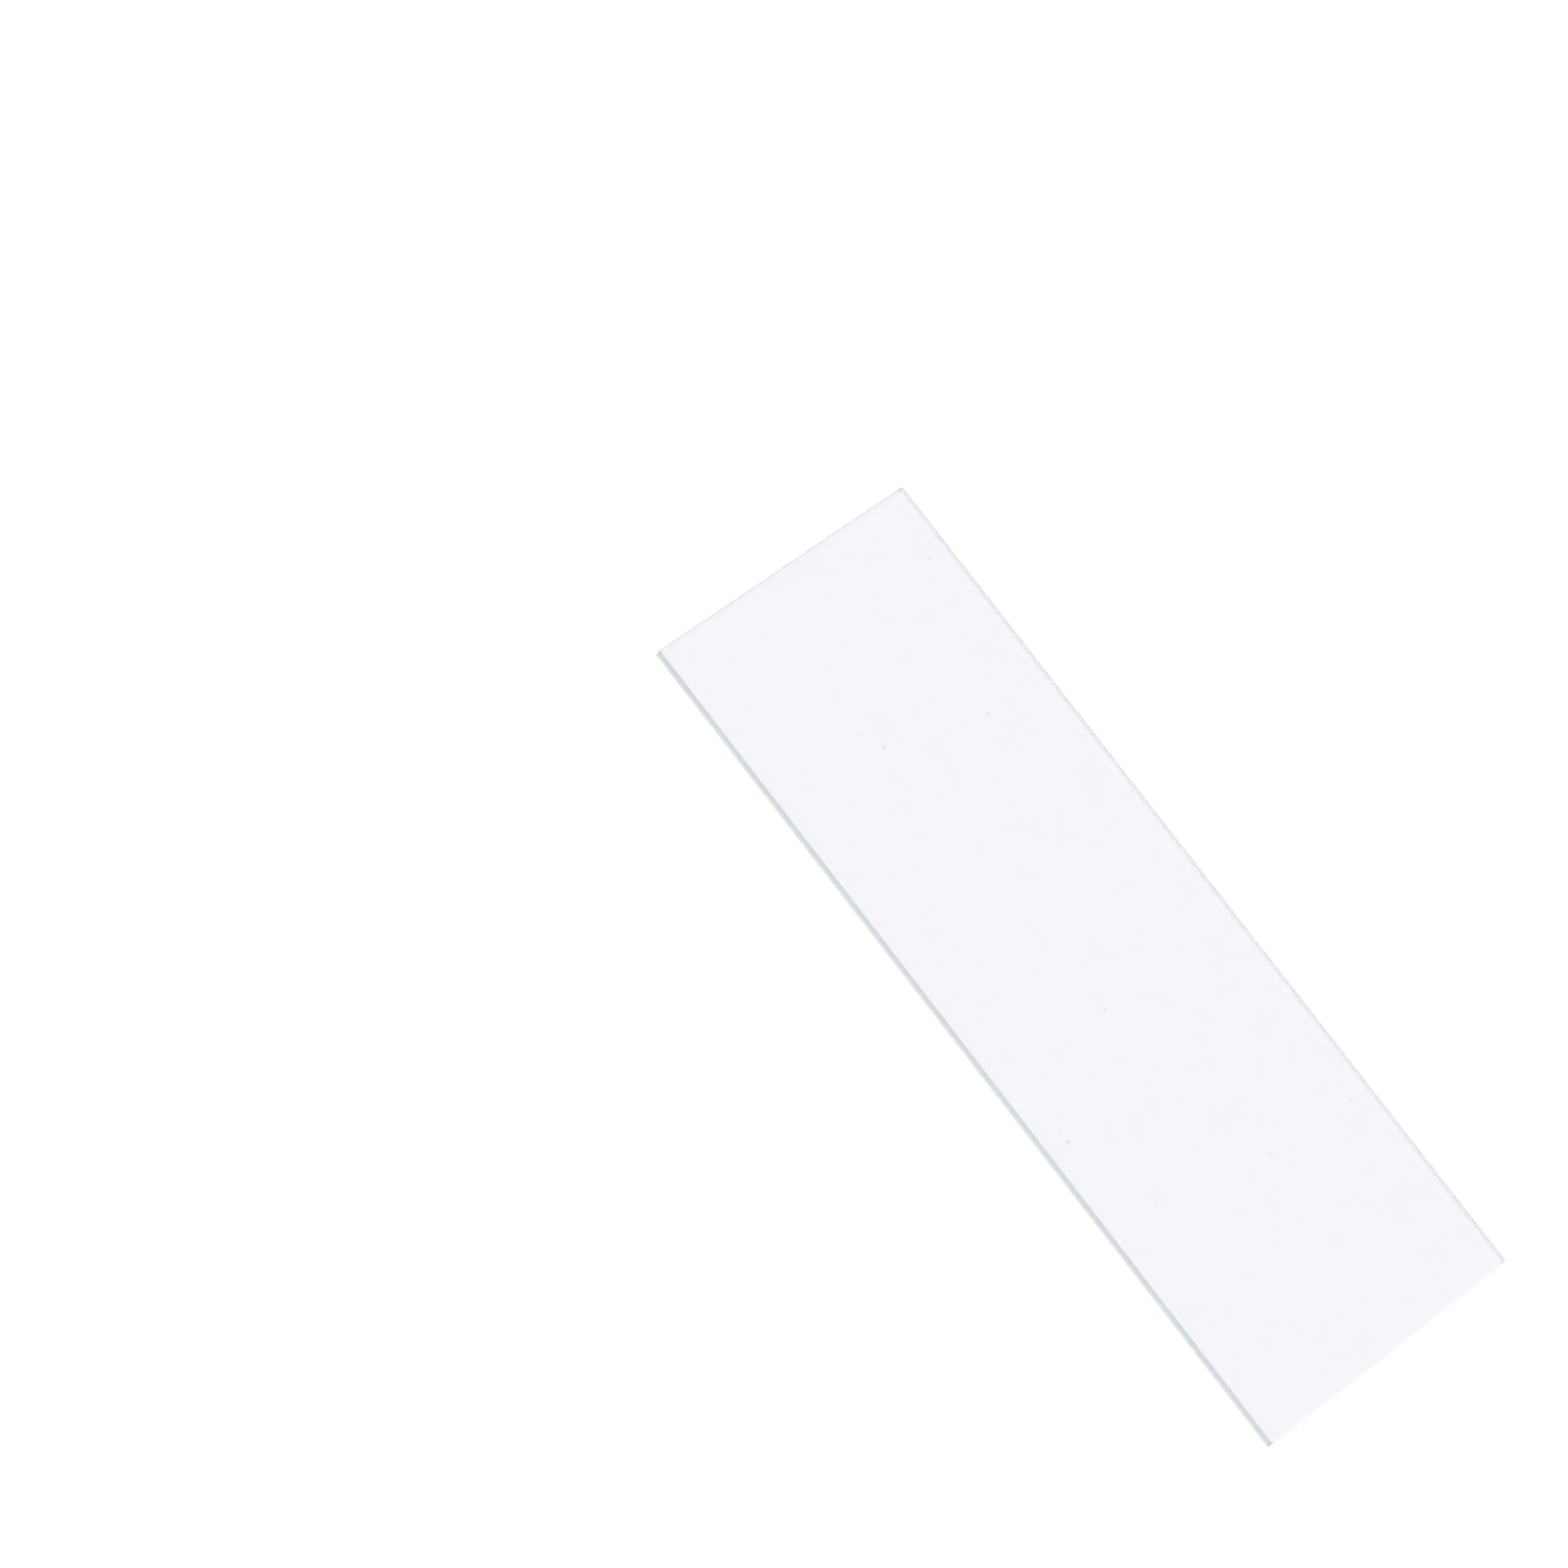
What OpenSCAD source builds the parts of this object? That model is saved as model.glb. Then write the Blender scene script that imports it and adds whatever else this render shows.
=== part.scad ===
// Plain microscope slide.
// One flat plate of clear soda-lime sheet glass, lying on its lower face.
// X runs along the slide, Y across it and Z up through the glass.
// The origin is the middle of the lower face.

/* [Plate] */
// Length of the slide, 3 inches
slide_length = 76.2; // [50:0.1:80]
// Width of the slide, 1 inch
slide_width = 25.4; // [20:0.1:40]
// Thickness of the glass
glass_thickness = 1.0; // [0.8:0.05:1.5]

/* [Edges] */
// Width of the seam, the fine bevel that takes the sharpness off every edge
seam = 0.06; // [0.02:0.01:0.2]
// Radius of the four corners, seen from above
corner_radius = 0.5; // [0.3:0.05:2]

/* [Hidden] */
// Each corner is centred this far from the middle of the slide
corner_x = slide_length / 2 - corner_radius;
corner_y = slide_width / 2 - corner_radius;
$fn = 96;

// Right half of the plate's section: flat faces below and above, a flat edge between
// them, and a seam where the edge meets each face
function half_section(reach) = [
    [0, 0],
    [reach - seam, 0],
    [reach, seam],
    [reach, glass_thickness - seam],
    [reach - seam, glass_thickness],
    [0, glass_thickness]
];

// Stretch of the plate as long as span along Y, with a finished edge at each end of X
module edged_band(width, span) {
    rotate([90, 0, 0])
        linear_extrude(height = span, center = true)
            union() {
                polygon(half_section(width / 2));
                mirror([1, 0]) polygon(half_section(width / 2));
            }
}

// Eased corner: the same section turned about the corner's centre
module eased_corner() {
    rotate_extrude() polygon(half_section(corner_radius));
}

// The slide: two crossed bands carry the four straight edges, and the corners fill in
// between them
module glass_slide() {
    color([0.90, 0.96, 0.95, 0.45])
        union() {
            edged_band(slide_length, 2 * corner_y);
            rotate([0, 0, 90]) edged_band(slide_width, 2 * corner_x);
            for (side_x = [-1, 1], side_y = [-1, 1])
                translate([side_x * corner_x, side_y * corner_y, 0]) eased_corner();
        }
}

glass_slide();
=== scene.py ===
import math

import bmesh
import bpy
from mathutils import Matrix, Vector


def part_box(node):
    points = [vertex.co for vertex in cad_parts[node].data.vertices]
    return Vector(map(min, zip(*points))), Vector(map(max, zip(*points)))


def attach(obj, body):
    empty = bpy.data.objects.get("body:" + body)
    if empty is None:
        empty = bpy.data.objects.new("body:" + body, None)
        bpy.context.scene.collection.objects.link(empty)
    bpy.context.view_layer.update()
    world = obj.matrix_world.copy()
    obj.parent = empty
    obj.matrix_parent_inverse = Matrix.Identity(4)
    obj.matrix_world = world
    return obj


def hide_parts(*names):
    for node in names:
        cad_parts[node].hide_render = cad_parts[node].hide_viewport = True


bl_info = {
    "name": "Microscope Slide",
    "version": (1, 0, 0),
    "blender": (4, 5, 0),
    "location": "View3D > Sidebar > Slide",
    "description": "A plain glass microscope slide, a little dusty, on a white table",
    "category": "Object",
}

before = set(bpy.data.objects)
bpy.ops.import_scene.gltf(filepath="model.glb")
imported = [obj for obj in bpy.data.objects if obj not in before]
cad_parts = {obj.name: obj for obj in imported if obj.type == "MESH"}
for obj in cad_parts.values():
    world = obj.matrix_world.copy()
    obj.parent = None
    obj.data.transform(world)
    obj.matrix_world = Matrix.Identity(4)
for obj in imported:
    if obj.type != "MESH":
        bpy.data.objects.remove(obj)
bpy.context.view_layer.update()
PLATE_LOW, PLATE_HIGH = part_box("glass_slide")
PLATE_SIZE = PLATE_HIGH - PLATE_LOW
PLATE_MIDDLE = (PLATE_LOW + PLATE_HIGH) / 2
MM = 0.001

# Steps of the round of a corner and of a seam, and the bevel profile that makes it round
CORNER_STEPS = 12
SEAM_STEPS = 3
ROUND_PROFILE = 0.5
# Upward share of a face's normal over which the face counts as level
LEVEL = 0.5
# Weight of the large faces in smooth shading, at which they look flat up to the seams
FLAT_FACE_WEIGHT = 100

# Grains of dust on the upper face, as place along, place across and width in millimetres
GRAINS = (
    (10.7, -10.8, 0.34),
    (9.8, -10.9, 0.2),
    (4.3, -1.4, 0.22),
    (21.1, 10.7, 0.18),
    (20.8, 2.3, 0.18),
    (6.2, 8.5, 0.16),
    (12.2, -3.1, 0.15),
    (18.4, -8.0, 0.15),
    (-22.1, -2.6, 0.28),
    (-24.0, -3.6, 0.2),
    (-19.6, 6.3, 0.26),
    (-32.2, 10.7, 0.26),
)
# Share of a grain's radius that is solid, before it fades out
GRAIN_CORE = 0.4
# The power of chance that leaves most specks of fine dust small
FEW_LARGE = 3.0
# Where between its lowest and highest value the drift noise turns the painted glow of the front
# edge from grey to green
DRIFT_TURN = (0.4, 0.6)

# Side of the table top in metres, and the hair's breadth between it and the plate
TABLE_SIZE = 6.0
TABLE_GAP = 0.05 * MM

# Width of the camera's sensor in millimetres, and the nearest place that it sees
SENSOR_WIDTH = 36.0
CLIP_START = 10 * MM


def linear(hex_colour):
    """An sRGB hex colour as linear red, green and blue."""
    channels = [int(hex_colour[i : i + 2], 16) / 255 for i in (1, 3, 5)]
    return [c / 12.92 if c <= 0.04045 else ((c + 0.055) / 1.055) ** 2.4 for c in channels]


def add_node(tree, kind, settings=None, **links):
    """Adds a node, sets its properties, and sets or links each input named in links.

    An input is named with underscores for spaces, or by an underscore and its number.
    """
    node = tree.nodes.new(kind)
    for name, value in (settings or {}).items():
        setattr(node, name, value)
    for name, value in links.items():
        key = int(name[1:]) if name[1:].isdigit() else name.replace("_", " ")
        socket = node.inputs[key]
        if isinstance(value, bpy.types.NodeSocket):
            tree.links.new(value, socket)
        else:
            socket.default_value = value
    return node


# ---------------------------------------------------------------- settings


class SlideGlassSettings(bpy.types.PropertyGroup):
    corner_radius: bpy.props.FloatProperty(
        name="Corner radius",
        description="Radius that the four corners are eased to, seen from above",
        default=0.2 * MM,
        unit="LENGTH",
    )
    seam: bpy.props.FloatProperty(
        name="Seam",
        description="Width of the fine bevel along every edge",
        default=0.06 * MM,
        unit="LENGTH",
    )
    ior: bpy.props.FloatProperty(
        name="IOR",
        description="Refractive index of soda-lime glass",
        default=1.52,
    )
    iron_tint: bpy.props.FloatVectorProperty(
        name="Iron tint",
        description="What is left of white light after one tint depth of glass",
        subtype="COLOR",
        default=linear("#F9FDFB"),
    )
    tint_depth: bpy.props.FloatProperty(
        name="Tint depth",
        description="Length of glass that gives the iron tint",
        default=30 * MM,
        unit="LENGTH",
    )
    # a faint lilac tint on the faces and ends, which darkens what is seen through them a little
    lilac_tint: bpy.props.FloatVectorProperty(
        name="Film tint",
        description="Colour left by the thin lilac film of handling on the faces and ends",
        subtype="COLOR",
        default=linear("#F8F7FA"),
    )
    cut_colour: bpy.props.FloatVectorProperty(
        name="Cut colour",
        description="Colour of the long edges where the cut ran clean, near the lower face",
        subtype="COLOR",
        default=linear("#FCFCFC"),
    )
    # partly painted shade: the grey of the long edges near the upper face stands partly for the
    # crushed score and partly for shade on them
    scored_and_shaded_colour: bpy.props.FloatVectorProperty(
        name="Scored colour",
        description="Colour of the long edges where the wheel scored them, near the upper face",
        subtype="COLOR",
        default=linear("#DEDEDE"),
    )
    cut_roughness: bpy.props.FloatProperty(
        name="Cut roughness",
        description="Roughness of the long edges near the lower face",
        default=0.3,
        subtype="FACTOR",
    )
    scored_roughness: bpy.props.FloatProperty(
        name="Scored roughness",
        description="Roughness of the long edges near the upper face",
        default=0.6,
        subtype="FACTOR",
    )
    clean_height: bpy.props.FloatProperty(
        name="Clean height",
        description="Height on the long edges up to which the cut is clean",
        default=0.2 * MM,
        unit="LENGTH",
    )
    scored_height: bpy.props.FloatProperty(
        name="Scored height",
        description="Height on the long edges from which they are fully scored",
        default=0.7 * MM,
        unit="LENGTH",
    )
    # painted shade: a grey cast painted on the rear edge and on the greyer stretches of the front
    # one
    painted_grey_cast: bpy.props.FloatVectorProperty(
        name="Grey cast",
        description="Cast of the rear edge and of the greyer stretches of the front one",
        subtype="COLOR",
        default=linear("#FBF9FA"),
    )
    # painted light: a green glow painted on stretches of the front edge, in place of light carried
    # along inside the glass
    painted_green_glow: bpy.props.FloatVectorProperty(
        name="Green cast",
        description="Cast of the greener stretches of the front edge",
        subtype="COLOR",
        default=linear("#F8FEFC"),
    )
    drift_length: bpy.props.FloatProperty(
        name="Drift length",
        description="Usual length of a greener or greyer stretch of the front edge",
        default=5 * MM,
        unit="LENGTH",
    )
    # the grey tips of the corners reach this far along and across the slide
    grey_reach: bpy.props.FloatProperty(
        name="Nibble reach",
        description="How far the nibbling of a corner reaches along and across the slide",
        default=0.2 * MM,
        unit="LENGTH",
    )
    # colour of the greyer corner tips
    greyed_colour: bpy.props.FloatVectorProperty(
        name="Nibbled colour",
        description="Colour of the nibbled corners",
        subtype="COLOR",
        default=linear("#E4E4E4"),
    )
    # share of a grey corner tip that lets no light through
    greyed_share: bpy.props.FloatProperty(
        name="Nibbled share",
        description="Share of a nibbled corner that is crushed and grey, not clear",
        default=0.4,
        subtype="FACTOR",
    )
    dust_colour: bpy.props.FloatVectorProperty(
        name="Dust colour",
        description="Colour of the dust specks and grains",
        subtype="COLOR",
        default=linear("#C4C5CA"),
    )
    dust_share: bpy.props.FloatProperty(
        name="Dust share",
        description="How much of the glass the middle of a speck or grain hides",
        default=0.6,
        subtype="FACTOR",
    )
    dust_spacing: bpy.props.FloatProperty(
        name="Dust spacing",
        description="Usual distance between two specks of fine dust",
        default=1.6 * MM,
        unit="LENGTH",
    )
    dust_size: bpy.props.FloatProperty(
        name="Dust size",
        description="Radius of the largest speck of fine dust",
        default=0.06 * MM,
        unit="LENGTH",
    )


class SlideStageSettings(bpy.types.PropertyGroup):
    table_colour: bpy.props.FloatVectorProperty(
        name="Table colour",
        description="Colour of the matt table top",
        subtype="COLOR",
        default=linear("#B2B0AA"),
    )
    table_lift: bpy.props.FloatProperty(
        name="Table lift",
        description="Light added where the table is seen, so that it reads as white",
        default=0.64,
        subtype="FACTOR",
    )
    ceiling_colour: bpy.props.FloatVectorProperty(
        name="Ceiling colour",
        description="Colour of the studio overhead",
        subtype="COLOR",
        default=linear("#D2D7E5"),
    )
    wall_colour: bpy.props.FloatVectorProperty(
        name="Wall colour",
        description="Colour of the studio at the height of the table",
        subtype="COLOR",
        default=linear("#F6F6F6"),
    )
    wall_top: bpy.props.FloatProperty(
        name="Wall top",
        description="Sine of the height at which the wall begins to turn into the ceiling",
        default=0.1,
    )
    ceiling_foot: bpy.props.FloatProperty(
        name="Ceiling foot",
        description="Sine of the height at which the ceiling has its full colour",
        default=0.8,
    )
    lamp_azimuth: bpy.props.FloatProperty(
        name="Lamp azimuth",
        description="Direction of the lamp, turned from the front towards the right end",
        default=math.radians(-60),
        subtype="ANGLE",
    )
    lamp_elevation: bpy.props.FloatProperty(
        name="Lamp elevation",
        description="Height of the lamp above the table, as an angle",
        default=math.radians(78),
        subtype="ANGLE",
    )
    lamp_spread: bpy.props.FloatProperty(
        name="Lamp spread",
        description="Angle that the wide soft lamp fills, seen from the slide",
        default=math.radians(60),
        subtype="ANGLE",
    )
    lamp_share: bpy.props.FloatProperty(
        name="Lamp share",
        description="Light that the lamp lays on the table, where 1 shows a colour as written",
        default=0.15,
        subtype="FACTOR",
    )
    bounces: bpy.props.IntProperty(
        name="Bounces",
        description="Times a ray may turn while it runs along inside the plate",
        default=128,
    )
    view_azimuth: bpy.props.FloatProperty(
        name="View azimuth",
        description="Direction the camera stands in, turned from the front towards the right end",
        default=math.radians(13.78),
        subtype="ANGLE",
    )
    view_elevation: bpy.props.FloatProperty(
        name="View elevation",
        description="Height of the camera above the table, as an angle",
        default=math.radians(63.25),
        subtype="ANGLE",
    )
    view_roll: bpy.props.FloatProperty(
        name="View roll",
        description="Turn of the camera about its own axis",
        default=math.radians(39.96),
        subtype="ANGLE",
    )
    view_distance: bpy.props.FloatProperty(
        name="View distance",
        description="Distance from the camera to the point it looks at",
        default=510.8 * MM,
        unit="LENGTH",
    )
    aim: bpy.props.FloatVectorProperty(
        name="Aim",
        description="Point of the upper face that the camera looks at, along and across the slide",
        size=2,
        default=(-24.13 * MM, -11.27 * MM),
        subtype="XYZ_LENGTH",
        unit="LENGTH",
    )
    lens: bpy.props.FloatProperty(
        name="Lens",
        description="Focal length in millimetres",
        default=153.53,
    )


# ---------------------------------------------------------------- glass


def edge_masks(tree, place, settings):
    """Where the long edges with their seams lie, and where the grey corner tips lie.

    Both are 1 there and 0 elsewhere.
    """
    # how far a point lies outside the core, which is the plate less the reach of its corners
    radius = settings.corner_radius
    core = PLATE_SIZE / 2 - Vector((radius, radius, 0))
    past = add_node(
        tree, "ShaderNodeVectorMath", {"operation": "SUBTRACT"}, _0=place, _1=PLATE_MIDDLE
    )
    past = add_node(tree, "ShaderNodeVectorMath", {"operation": "ABSOLUTE"}, _0=past.outputs[0])
    past = add_node(
        tree, "ShaderNodeVectorMath", {"operation": "SUBTRACT"}, _0=past.outputs[0], _1=core
    )
    sides = add_node(tree, "ShaderNodeSeparateXYZ", Vector=past.outputs[0])
    off = add_node(
        tree, "ShaderNodeVectorMath", {"operation": "MAXIMUM"}, _0=past.outputs[0], _1=(0, 0, 0)
    )
    off = add_node(tree, "ShaderNodeVectorMath", {"operation": "LENGTH"}, _0=off.outputs[0])
    edge = add_node(
        tree,
        "ShaderNodeMath",
        {"operation": "GREATER_THAN"},
        _0=off.outputs["Value"],
        _1=radius - settings.seam,
    )

    # an edge is a long one where it lies past the core across the slide
    beside = add_node(
        tree, "ShaderNodeMath", {"operation": "GREATER_THAN"}, _0=sides.outputs["Y"], _1=0.0
    )
    long_edge = add_node(
        tree, "ShaderNodeMath", {"operation": "MULTIPLY"}, _0=edge.outputs[0], _1=beside.outputs[0]
    )

    # and it is grey where it is close to the tip of a corner both along and across
    nearer = add_node(
        tree,
        "ShaderNodeMath",
        {"operation": "MINIMUM"},
        _0=sides.outputs["X"],
        _1=sides.outputs["Y"],
    )
    tip = add_node(
        tree,
        "ShaderNodeMath",
        {"operation": "GREATER_THAN"},
        _0=nearer.outputs[0],
        _1=radius - settings.grey_reach,
    )
    greyed = add_node(
        tree, "ShaderNodeMath", {"operation": "MULTIPLY"}, _0=edge.outputs[0], _1=tip.outputs[0]
    )
    return long_edge.outputs[0], greyed.outputs[0]


def satin_and_painted_light(tree, place, settings):
    """Colour and roughness of the long edges, which the wheel scored along the upper face, with
    painted shade in their grey and a painted glow along the front one.
    """
    axes = add_node(tree, "ShaderNodeSeparateXYZ", Vector=place)

    # they grow rougher and darker from the clean break up to the score, the darker grey partly
    # from the score and partly painted shade
    scored = add_node(
        tree,
        "ShaderNodeMapRange",
        Value=axes.outputs["Z"],
        From_Min=settings.clean_height,
        From_Max=settings.scored_height,
    )
    satin = add_node(
        tree,
        "ShaderNodeMix",
        {"data_type": "FLOAT"},
        _0=scored.outputs[0],
        _2=settings.cut_roughness,
        _3=settings.scored_roughness,
    )
    shade = add_node(
        tree,
        "ShaderNodeMix",
        {"data_type": "RGBA"},
        _0=scored.outputs[0],
        _6=(*settings.cut_colour, 1),
        _7=(*settings.scored_and_shaded_colour, 1),
    )

    # painted light: the front one is painted with a glow that drifts slowly between grey and
    # green, in place of light carried along inside the glass, and the rear one is painted grey all
    # along
    drift = add_node(tree, "ShaderNodeTexNoise", Vector=place, Scale=1 / settings.drift_length)
    drift = add_node(
        tree,
        "ShaderNodeMapRange",
        Value=drift.outputs[0],
        From_Min=DRIFT_TURN[0],
        From_Max=DRIFT_TURN[1],
    )
    front = add_node(
        tree, "ShaderNodeMath", {"operation": "LESS_THAN"}, _0=axes.outputs["Y"], _1=0.0
    )
    drift = add_node(
        tree, "ShaderNodeMath", {"operation": "MULTIPLY"}, _0=drift.outputs[0], _1=front.outputs[0]
    )
    cast = add_node(
        tree,
        "ShaderNodeMix",
        {"data_type": "RGBA"},
        _0=drift.outputs[0],
        _6=(*settings.painted_grey_cast, 1),
        _7=(*settings.painted_green_glow, 1),
    )
    shade = add_node(
        tree,
        "ShaderNodeMix",
        {"data_type": "RGBA", "blend_type": "MULTIPLY"},
        _0=1.0,
        _6=shade.outputs[2],
        _7=cast.outputs[2],
    )
    return shade.outputs[2], satin.outputs[0]


def dust_cover(tree, place, settings):
    """How much of the glass is hidden by dust, from 0 to the dust share."""
    # fine dust lies everywhere, each speck of its own size
    specks = add_node(tree, "ShaderNodeTexVoronoi", Vector=place, Scale=1 / settings.dust_spacing)
    chance = add_node(tree, "ShaderNodeSeparateXYZ", Vector=specks.outputs["Color"])
    size = add_node(
        tree, "ShaderNodeMath", {"operation": "POWER"}, _0=chance.outputs["X"], _1=FEW_LARGE
    )
    reach = add_node(
        tree,
        "ShaderNodeMath",
        {"operation": "MULTIPLY"},
        _0=size.outputs[0],
        _1=settings.dust_size / settings.dust_spacing,
    )
    dust = add_node(
        tree,
        "ShaderNodeMapRange",
        Value=specks.outputs["Distance"],
        From_Min=0.0,
        From_Max=reach.outputs[0],
        To_Min=settings.dust_share,
        To_Max=0.0,
    )

    # and a few grains lie where they fell
    for along, across, width in GRAINS:
        centre = Vector((along * MM, across * MM, PLATE_HIGH.z))
        away = add_node(
            tree, "ShaderNodeVectorMath", {"operation": "DISTANCE"}, _0=place, _1=centre
        )
        grain = add_node(
            tree,
            "ShaderNodeMapRange",
            Value=away.outputs["Value"],
            From_Min=width * MM / 2 * GRAIN_CORE,
            From_Max=width * MM / 2,
            To_Min=settings.dust_share,
            To_Max=0.0,
        )
        dust = add_node(
            tree,
            "ShaderNodeMath",
            {"operation": "MAXIMUM"},
            _0=dust.outputs[0],
            _1=grain.outputs[0],
        )
    return dust.outputs[0]


def soda_lime_glass(settings):
    """Clear soda-lime sheet glass, wheel-scored and snapped to size.

    The two faces are fire-polished, so they are smooth and clear under a faint lilac tint,
    and so are the cleanly snapped ends. The long edges are satin, rougher where the wheel
    scored them and darker there, partly from the score and partly from painted shade, with
    a painted green glow along the front one in place of light carried along the glass. The
    corners are greyer near their tips.
    """
    material = bpy.data.materials.new("soda_lime_sheet_glass")
    material.use_nodes = True
    tree = material.node_tree
    tree.nodes.clear()
    place = add_node(tree, "ShaderNodeTexCoord").outputs["Object"]
    long_edge, greyed = edge_masks(tree, place, settings)
    shade, satin = satin_and_painted_light(tree, place, settings)
    dust = dust_cover(tree, place, settings)

    # edges lie over the lilac tint, grey corner tips over the edges, and dust over all
    colour = add_node(
        tree,
        "ShaderNodeMix",
        {"data_type": "RGBA"},
        _0=long_edge,
        _6=(*settings.lilac_tint, 1),
        _7=shade,
    )
    colour = add_node(
        tree,
        "ShaderNodeMix",
        {"data_type": "RGBA"},
        _0=greyed,
        _6=colour.outputs[2],
        _7=(*settings.greyed_colour, 1),
    )
    colour = add_node(
        tree,
        "ShaderNodeMix",
        {"data_type": "RGBA"},
        _0=dust,
        _6=colour.outputs[2],
        _7=(*settings.dust_colour, 1),
    )

    # only the long edges and the dust are rough
    roughness = add_node(
        tree, "ShaderNodeMath", {"operation": "MULTIPLY"}, _0=long_edge, _1=satin
    )
    roughness = add_node(
        tree, "ShaderNodeMath", {"operation": "MAXIMUM"}, _0=roughness.outputs[0], _1=dust
    )

    # the grey part of the corner tips and the dust let no light through
    blocked = add_node(
        tree, "ShaderNodeMath", {"operation": "MULTIPLY"}, _0=greyed, _1=settings.greyed_share
    )
    hidden = add_node(
        tree, "ShaderNodeMath", {"operation": "MAXIMUM"}, _0=blocked.outputs[0], _1=dust
    )
    clear = add_node(
        tree, "ShaderNodeMath", {"operation": "SUBTRACT"}, _0=1.0, _1=hidden.outputs[0]
    )
    glass = add_node(
        tree,
        "ShaderNodeBsdfPrincipled",
        Base_Color=colour.outputs[2],
        Roughness=roughness.outputs[0],
        IOR=settings.ior,
        Transmission_Weight=clear.outputs[0],
    )

    # the green of the iron in the sand shows only along the plate, through centimetres of glass
    losses = [-math.log(channel) for channel in settings.iron_tint]
    tint = [1 - loss / max(losses) for loss in losses]
    absorption = add_node(
        tree,
        "ShaderNodeVolumeAbsorption",
        Color=(*tint, 1),
        Density=max(losses) / settings.tint_depth,
    )
    add_node(
        tree,
        "ShaderNodeOutputMaterial",
        Surface=glass.outputs["BSDF"],
        Volume=absorption.outputs["Volume"],
    )
    return material


def is_upright(edge):
    """Whether an edge stands upright, through the thickness of the plate."""
    rise = edge.verts[0].co.z - edge.verts[1].co.z
    return abs(rise) > PLATE_SIZE.z / 2


def is_rim(edge):
    """Whether a level face and an upright one meet along an edge."""
    levels = [abs(face.normal.z) for face in edge.link_faces]
    return min(levels) < LEVEL < max(levels)


def select_edges(piece, wanted):
    """Selects the edges that pass a test, and no others, in edit mode."""
    bpy.ops.mesh.select_all(action="DESELECT")
    mesh = bmesh.from_edit_mesh(piece.data)
    chosen = [edge for edge in mesh.edges if wanted(edge)]
    if not chosen:
        raise RuntimeError(f"no edge of {piece.name} passes {wanted.__name__}")
    for edge in chosen:
        edge.select_set(True)
    bmesh.update_edit_mesh(piece.data)


class SLIDE_OT_add_plate(bpy.types.Operator):
    """Model the glass plate with its eased corners and seamed edges"""

    bl_idname = "slide.add_plate"
    bl_label = "Add Plate"

    def execute(self, context):
        settings = context.scene.slide_glass
        bpy.ops.object.select_all(action="DESELECT")
        bpy.ops.mesh.primitive_cube_add(size=1, location=PLATE_MIDDLE)
        plate = context.active_object
        plate.name = plate.data.name = "slide_plate"
        plate.scale = PLATE_SIZE
        bpy.ops.object.transform_apply(location=True, rotation=True, scale=True)

        bpy.ops.object.mode_set(mode="EDIT")
        bpy.ops.mesh.select_mode(type="EDGE")
        select_edges(plate, is_upright)
        bpy.ops.mesh.bevel(
            offset=settings.corner_radius,
            segments=CORNER_STEPS,
            profile=ROUND_PROFILE,
            affect="EDGES",
        )
        select_edges(plate, is_rim)
        bpy.ops.mesh.bevel(
            offset=settings.seam,
            segments=SEAM_STEPS,
            profile=ROUND_PROFILE,
            affect="EDGES",
        )
        bpy.ops.object.mode_set(mode="OBJECT")

        bpy.ops.object.shade_smooth()
        weighted = plate.modifiers.new("flat_faces_stay_flat", "WEIGHTED_NORMAL")
        weighted.mode = "FACE_AREA"
        weighted.weight = FLAT_FACE_WEIGHT
        bpy.ops.object.modifier_apply(modifier=weighted.name)
        plate.data.materials.append(soda_lime_glass(settings))
        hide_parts("glass_slide")
        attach(plate, "root")
        return {"FINISHED"}


# ---------------------------------------------------------------- stage


def towards(azimuth, elevation):
    """The direction of a compass angle turned from the front to the right, and a height."""
    level = math.cos(elevation)
    return Vector((math.sin(azimuth) * level, -math.cos(azimuth) * level, math.sin(elevation)))


def matt_white_table(settings):
    """Matt white paper board, which shows no gloss and reads as plain white.

    Its light is added only where it is seen, by the camera, in gloss and through the
    glass, so that it adds none to the slide.
    """
    material = bpy.data.materials.new("matt_white_table")
    material.use_nodes = True
    tree = material.node_tree
    tree.nodes.clear()
    path = add_node(tree, "ShaderNodeLightPath")
    seen = add_node(
        tree,
        "ShaderNodeMath",
        {"operation": "MAXIMUM"},
        _0=path.outputs["Is Camera Ray"],
        _1=path.outputs["Is Glossy Ray"],
    )
    seen = add_node(
        tree,
        "ShaderNodeMath",
        {"operation": "MAXIMUM"},
        _0=seen.outputs[0],
        _1=path.outputs["Is Transmission Ray"],
    )
    lift = add_node(
        tree,
        "ShaderNodeMath",
        {"operation": "MULTIPLY"},
        _0=seen.outputs[0],
        _1=settings.table_lift,
    )
    glow = add_node(tree, "ShaderNodeEmission", Strength=lift.outputs[0])
    matt = add_node(tree, "ShaderNodeBsdfDiffuse", Color=(*settings.table_colour, 1))
    both = add_node(tree, "ShaderNodeAddShader", _0=matt.outputs[0], _1=glow.outputs[0])
    add_node(tree, "ShaderNodeOutputMaterial", Surface=both.outputs[0])
    return material


def lay_table(settings):
    """Lays the table top a hair's breadth under the plate, so that the two never coincide."""
    bpy.ops.object.select_all(action="DESELECT")
    bpy.ops.mesh.primitive_plane_add(size=TABLE_SIZE, location=(0, 0, -TABLE_GAP))
    table = bpy.context.active_object
    table.name = "table"
    table.data.materials.append(matt_white_table(settings))


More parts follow.
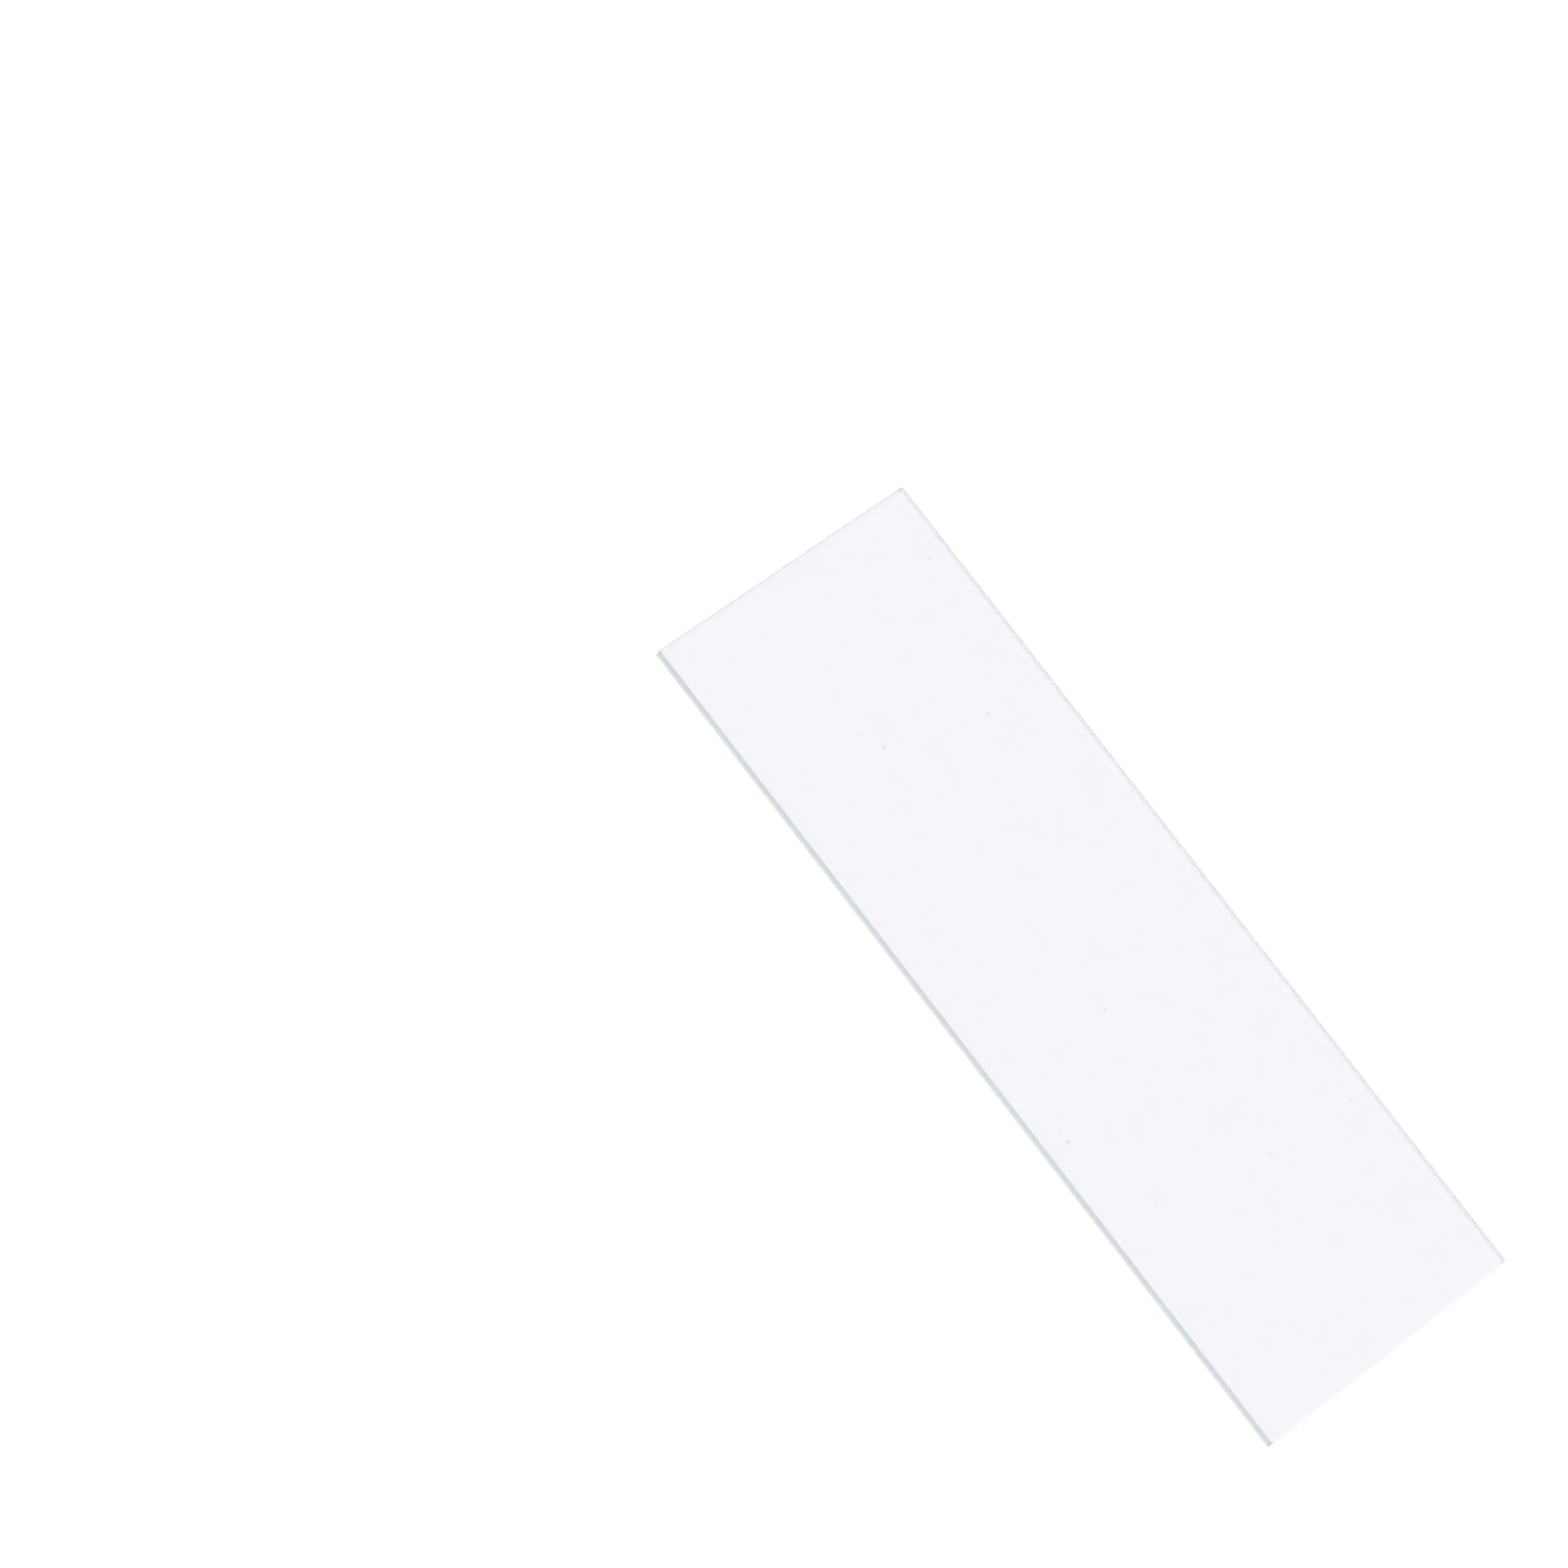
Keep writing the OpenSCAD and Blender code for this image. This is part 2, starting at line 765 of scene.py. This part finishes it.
def pale_studio(settings):
    """The studio all round, a white wall that turns into a cooler ceiling."""
    world = bpy.data.worlds.new("studio")
    world.use_nodes = True
    tree = world.node_tree
    tree.nodes.clear()
    direction = add_node(tree, "ShaderNodeTexCoord").outputs["Generated"]
    height = add_node(tree, "ShaderNodeSeparateXYZ", Vector=direction).outputs["Z"]
    overhead = add_node(
        tree,
        "ShaderNodeMapRange",
        {"interpolation_type": "SMOOTHSTEP"},
        Value=height,
        From_Min=settings.wall_top,
        From_Max=settings.ceiling_foot,
    )
    shade = add_node(
        tree,
        "ShaderNodeMix",
        {"data_type": "RGBA"},
        _0=overhead.outputs[0],
        _6=(*settings.wall_colour, 1),
        _7=(*settings.ceiling_colour, 1),
    )
    sky = add_node(tree, "ShaderNodeBackground", Color=shade.outputs[2], Strength=1.0)
    add_node(tree, "ShaderNodeOutputWorld", Surface=sky.outputs[0])
    return world


def hang_lamp(settings):
    """Hangs one wide soft lamp high over the table, a little to the front and left."""
    lamp_data = bpy.data.lights.new("soft_lamp", "SUN")
    lamp_data.angle = settings.lamp_spread
    lamp_data.energy = settings.lamp_share * math.pi / math.sin(settings.lamp_elevation)
    lamp = bpy.data.objects.new("soft_lamp", lamp_data)
    bpy.context.scene.collection.objects.link(lamp)
    back = towards(settings.lamp_azimuth, settings.lamp_elevation)
    lamp.rotation_euler = back.to_track_quat("Z", "Y").to_euler()
    lamp.location = back


def place_camera(settings):
    """Aims the camera at its point of the upper face, and turns it about its own axis."""
    camera_data = bpy.data.cameras.new("camera")
    camera_data.lens = settings.lens
    camera_data.sensor_width = SENSOR_WIDTH
    camera_data.clip_start = CLIP_START
    camera = bpy.data.objects.new("camera", camera_data)
    bpy.context.scene.collection.objects.link(camera)
    back = towards(settings.view_azimuth, settings.view_elevation)
    aim = Vector((settings.aim[0], settings.aim[1], PLATE_HIGH.z))
    turn = back.to_track_quat("Z", "Y").to_matrix() @ Matrix.Rotation(settings.view_roll, 3, "Z")
    place = Matrix.Translation(aim + back * settings.view_distance)
    camera.matrix_world = place @ turn.to_4x4()
    bpy.context.scene.camera = camera


class SLIDE_OT_set_stage(bpy.types.Operator):
    """Lay the table, light it and place the camera"""

    bl_idname = "slide.set_stage"
    bl_label = "Set Stage"

    def execute(self, context):
        scene = context.scene
        settings = scene.slide_stage
        lay_table(settings)
        scene.world = pale_studio(settings)
        hang_lamp(settings)
        place_camera(settings)

        # the table's light reaches the camera through every turn inside the glass, unblurred
        scene.cycles.blur_glossy = 0.0
        scene.cycles.max_bounces = settings.bounces
        scene.cycles.glossy_bounces = settings.bounces
        scene.cycles.transmission_bounces = settings.bounces
        scene.view_settings.view_transform = "Standard"
        return {"FINISHED"}


class SLIDE_PT_panel(bpy.types.Panel):
    bl_label = "Microscope Slide"
    bl_idname = "SLIDE_PT_panel"
    bl_space_type = "VIEW_3D"
    bl_region_type = "UI"
    bl_category = "Slide"

    def draw(self, context):
        for operator in (SLIDE_OT_add_plate, SLIDE_OT_set_stage):
            self.layout.operator(operator.bl_idname)


CLASSES = (
    SlideGlassSettings,
    SlideStageSettings,
    SLIDE_OT_add_plate,
    SLIDE_OT_set_stage,
    SLIDE_PT_panel,
)


def register():
    for cls in CLASSES:
        bpy.utils.register_class(cls)
    bpy.types.Scene.slide_glass = bpy.props.PointerProperty(type=SlideGlassSettings)
    bpy.types.Scene.slide_stage = bpy.props.PointerProperty(type=SlideStageSettings)


def unregister():
    del bpy.types.Scene.slide_stage
    del bpy.types.Scene.slide_glass
    for cls in reversed(CLASSES):
        bpy.utils.unregister_class(cls)


def main():
    register()
    bpy.ops.slide.add_plate()
    bpy.ops.slide.set_stage()


if __name__ == "__main__":
    main()
